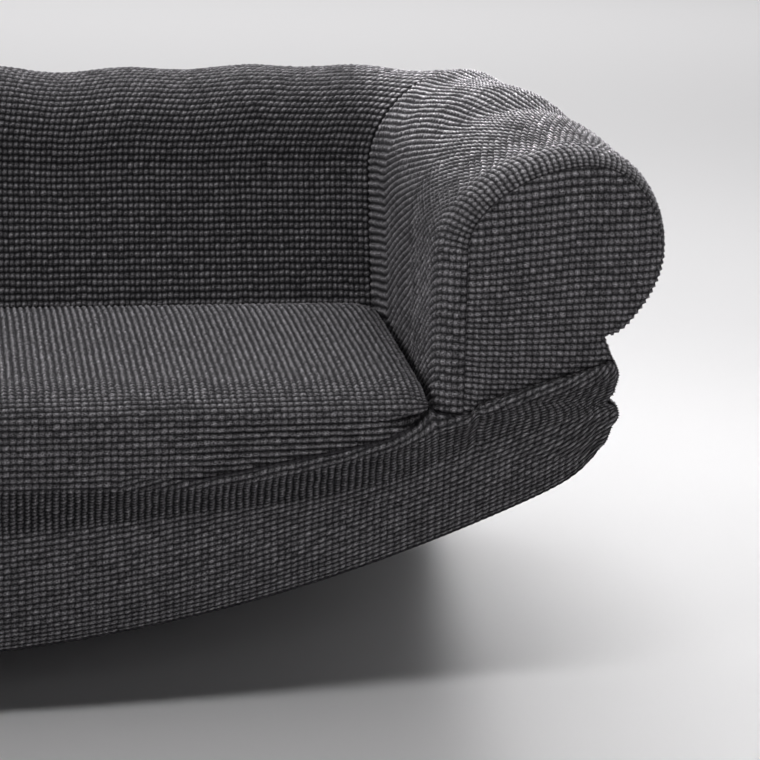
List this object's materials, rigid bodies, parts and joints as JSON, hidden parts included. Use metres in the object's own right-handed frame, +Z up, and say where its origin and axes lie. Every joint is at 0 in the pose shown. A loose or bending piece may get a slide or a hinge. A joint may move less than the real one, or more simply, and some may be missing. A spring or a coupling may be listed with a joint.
{
  "type": "sofa slipcover",
  "caption": "Stretch bubble-knit slipcover for a rolled-arm sofa, in the shape it takes when fitted, hollow inside, its front skirt pulled up at the right corner.",
  "frame": {"origin": "under the middle of the cover's bounding box, level with the hem where it hangs level", "axes": "+X along the sofa to the right as seen from the front, +Y from the front to the back, +Z up; the front faces -Y"},
  "size_m": [1.9406, 0.8742, 0.6519],
  "materials": {
    "knit": "matte bubble knit, dark charcoal"
  },
  "bodies": {
    "root": {"seat_and_skirt": "knit", "back": "knit", "arm_right": "knit", "arm_left": "knit", "arm_front_right": "knit", "arm_front_left": "knit"}
  },
  "joints": []
}
